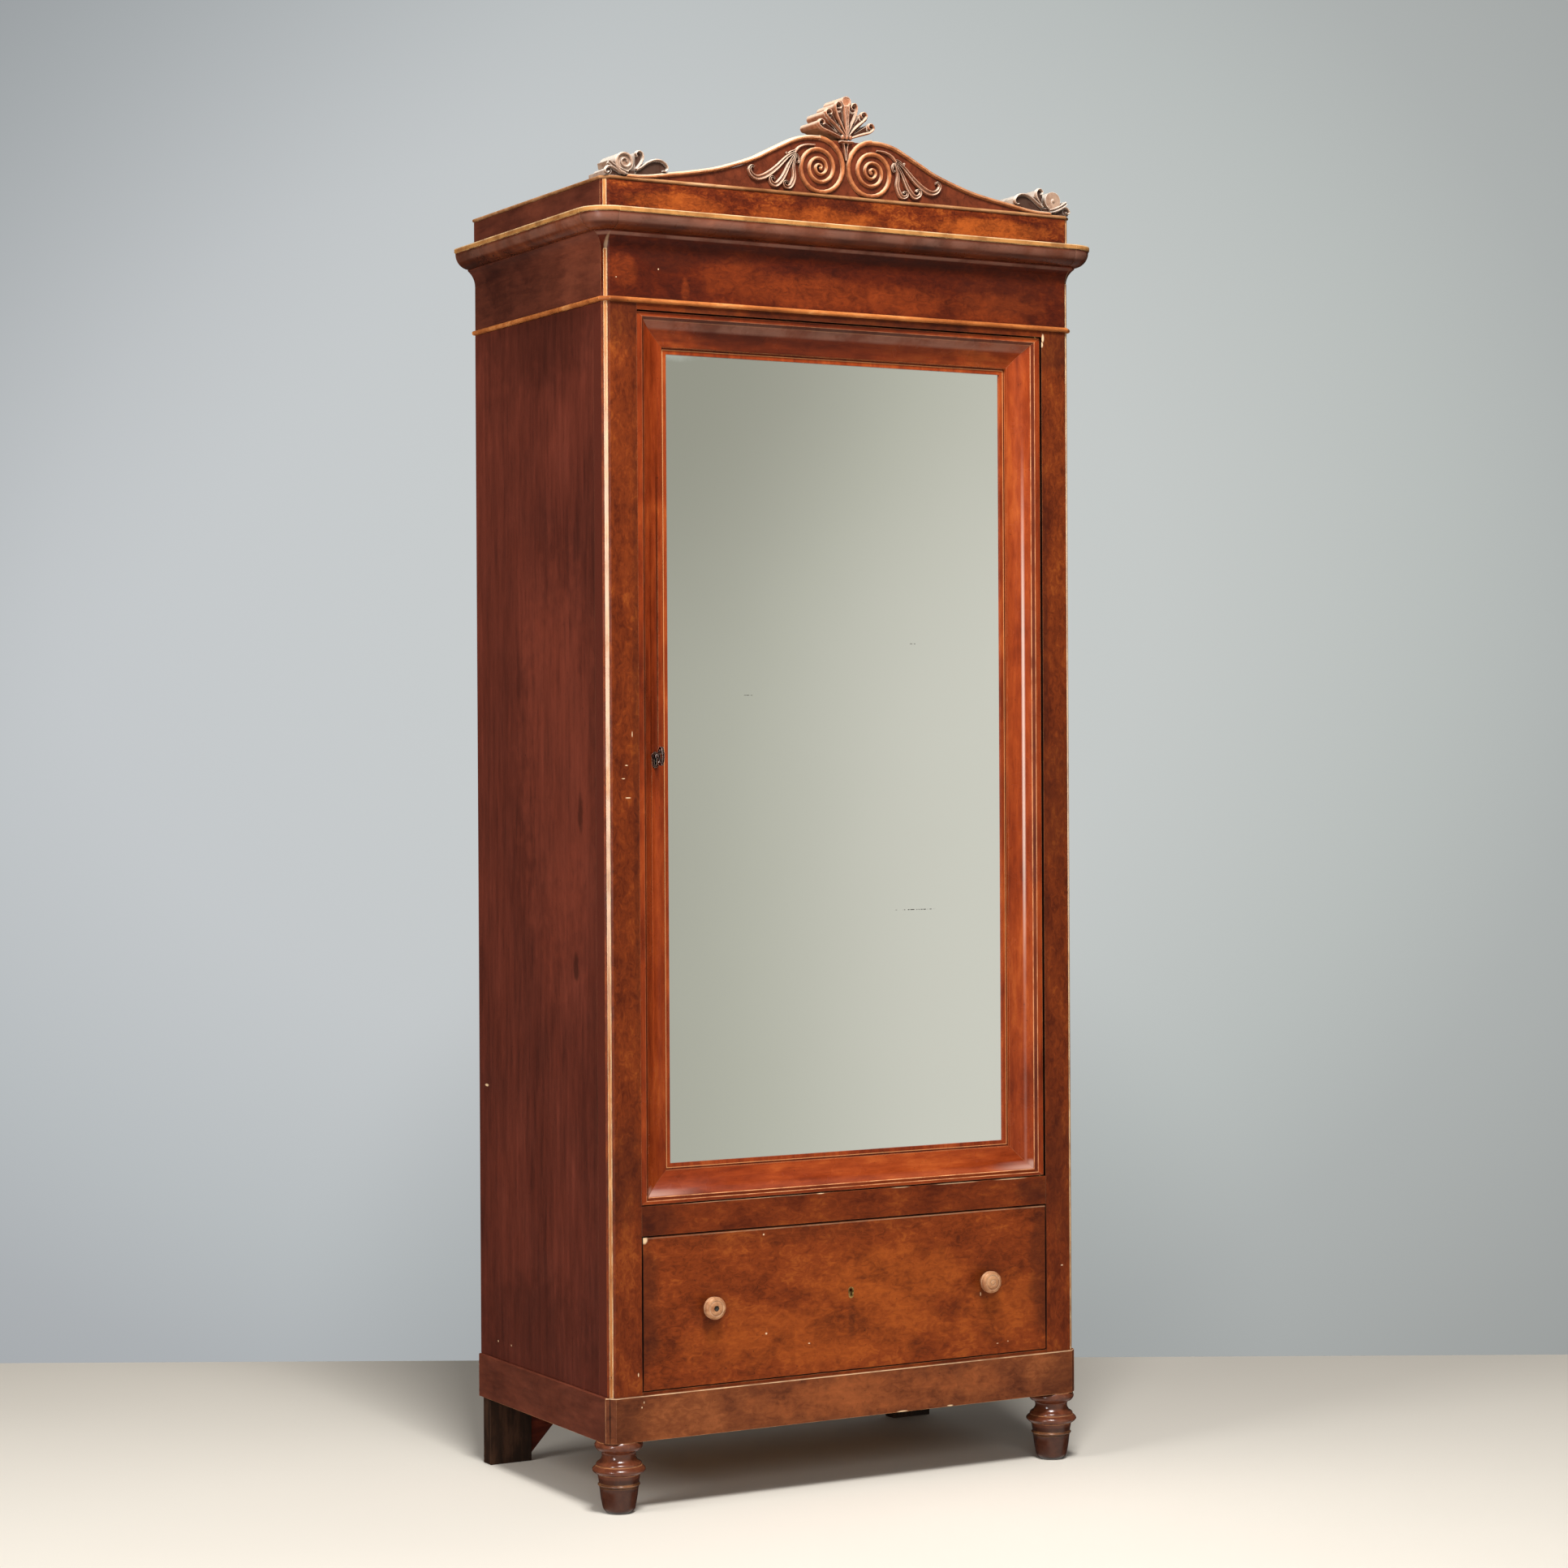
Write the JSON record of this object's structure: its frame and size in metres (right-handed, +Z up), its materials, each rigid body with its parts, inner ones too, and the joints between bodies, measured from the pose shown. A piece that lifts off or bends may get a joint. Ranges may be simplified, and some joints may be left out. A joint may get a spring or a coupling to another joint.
{
  "type": "bonnetiere cabinet",
  "caption": "Tall narrow linen cupboard with a mirror door, a drawer below, a moulded cornice and a carved pediment.",
  "frame": {"origin": "on the floor, at the centre of the box that encloses the whole piece", "axes": "+Z up, +X to the hinge side of the door, -Y towards the person in front of it"},
  "size_m": [1.01, 0.558, 2.398],
  "materials": {
    "burr_walnut": "clouded burr veneer, French polished",
    "figured_walnut": "straight-grained veneer, waxed and darkened",
    "door_walnut": "red-brown moulded frame, glossy polish",
    "moulded_walnut": "moulded edges worn to a golden brown",
    "carved_walnut": "carving with pale worn ridges on a dark ground",
    "turned_walnut": "dark turned foot with worn rings",
    "stained_oak": "dark stained, unpolished",
    "plain_oak": "plain planed oak, aged",
    "mirror": "old silvered plate with light scratches",
    "boxwood": "turned pale wood, waxed",
    "brass": "aged brass",
    "steel": "aged iron"
  },
  "bodies": {
    "cupboard": {"attic_front": "burr_walnut", "attic_returns": "figured_walnut", "attic_top_moulding": "moulded_walnut", "back_boards": "plain_oak", "carcass_bottom_board": "plain_oak", "carcass_pivot_plates": "steel", "carcass_top_board": "plain_oak", "compartment_floor": "plain_oak", "corner_strips": "moulded_walnut", "cornice_corner_blocks": "moulded_walnut", "cornice_front": "moulded_walnut", "cornice_returns": "moulded_walnut", "crown_top_board": "plain_oak", "drawer_runners_and_guides": "plain_oak", "frieze_back_rail": "plain_oak", "frieze_bead": "moulded_walnut", "frieze_front": "burr_walnut", "frieze_returns": "figured_walnut", "front_feet": "turned_walnut", "front_stiles": "burr_walnut", "leaf_sprays": "carved_walnut", "left_acroterion": "carved_walnut", "left_side_board": "figured_walnut", "linen_shelves": "plain_oak", "middle_rail": "burr_walnut", "palmette": "carved_walnut", "pediment_board": "burr_walnut", "pediment_edge_moulding": "moulded_walnut", "pediment_volutes": "carved_walnut", "plinth_back_rail": "stained_oak", "plinth_corner_blocks": "plain_oak", "plinth_front": "burr_walnut", "plinth_returns": "figured_walnut", "rear_feet": "stained_oak", "rear_foot_brackets": "stained_oak", "right_acroterion": "carved_walnut", "right_side_board": "figured_walnut", "shelf_battens": "plain_oak", "top_rail": "burr_walnut"},
    "door": {"door_hinge_stile": "door_walnut", "door_lock_stile": "door_walnut", "door_top_rail": "door_walnut", "door_bottom_rail": "door_walnut", "mirror_slips": "door_walnut", "mirror_glass": "mirror", "mirror_backboard": "plain_oak", "door_pivot_plates": "steel", "door_lock_case": "steel", "door_escutcheon": "brass"},
    "key": {"door_key": "steel"},
    "door_bolt": {"door_lock_bolt": "steel"},
    "drawer": {"drawer_front": "burr_walnut", "drawer_sides": "plain_oak", "drawer_back": "plain_oak", "drawer_bottom": "plain_oak", "drawer_knobs": "boxwood", "knob_screws": "steel", "drawer_escutcheon": "brass", "drawer_lock_case": "steel"},
    "drawer_bolt": {"drawer_lock_bolt": "steel"}
  },
  "joints": [
    {"name": "door_swing", "type": "hinge", "parent": "cupboard", "child": "door", "pos_m": [0.3965, -0.23, 0.5135], "axis": [0, 0, 1], "range_deg": [0, 100]},
    {"name": "key_turn", "type": "hinge", "parent": "door", "child": "key", "pos_m": [-0.363, -0.234, 1.263], "axis": [0, 1, 0], "range_deg": [0, 360]},
    {"name": "door_bolt_throw", "type": "slide", "parent": "door", "child": "door_bolt", "axis": [-1, 0, 0], "range_m": [0, 0.01]},
    {"name": "drawer_slide", "type": "slide", "parent": "cupboard", "child": "drawer", "axis": [0, -1, 0], "range_m": [0, 0.38]},
    {"name": "drawer_bolt_throw", "type": "slide", "parent": "drawer", "child": "drawer_bolt", "axis": [0, 0, 1], "range_m": [0, 0.008]}
  ],
  "couplings": [
    {"joint": "key_turn", "follows": "door_bolt_throw", "rad_per_m": 628.31}
  ]
}
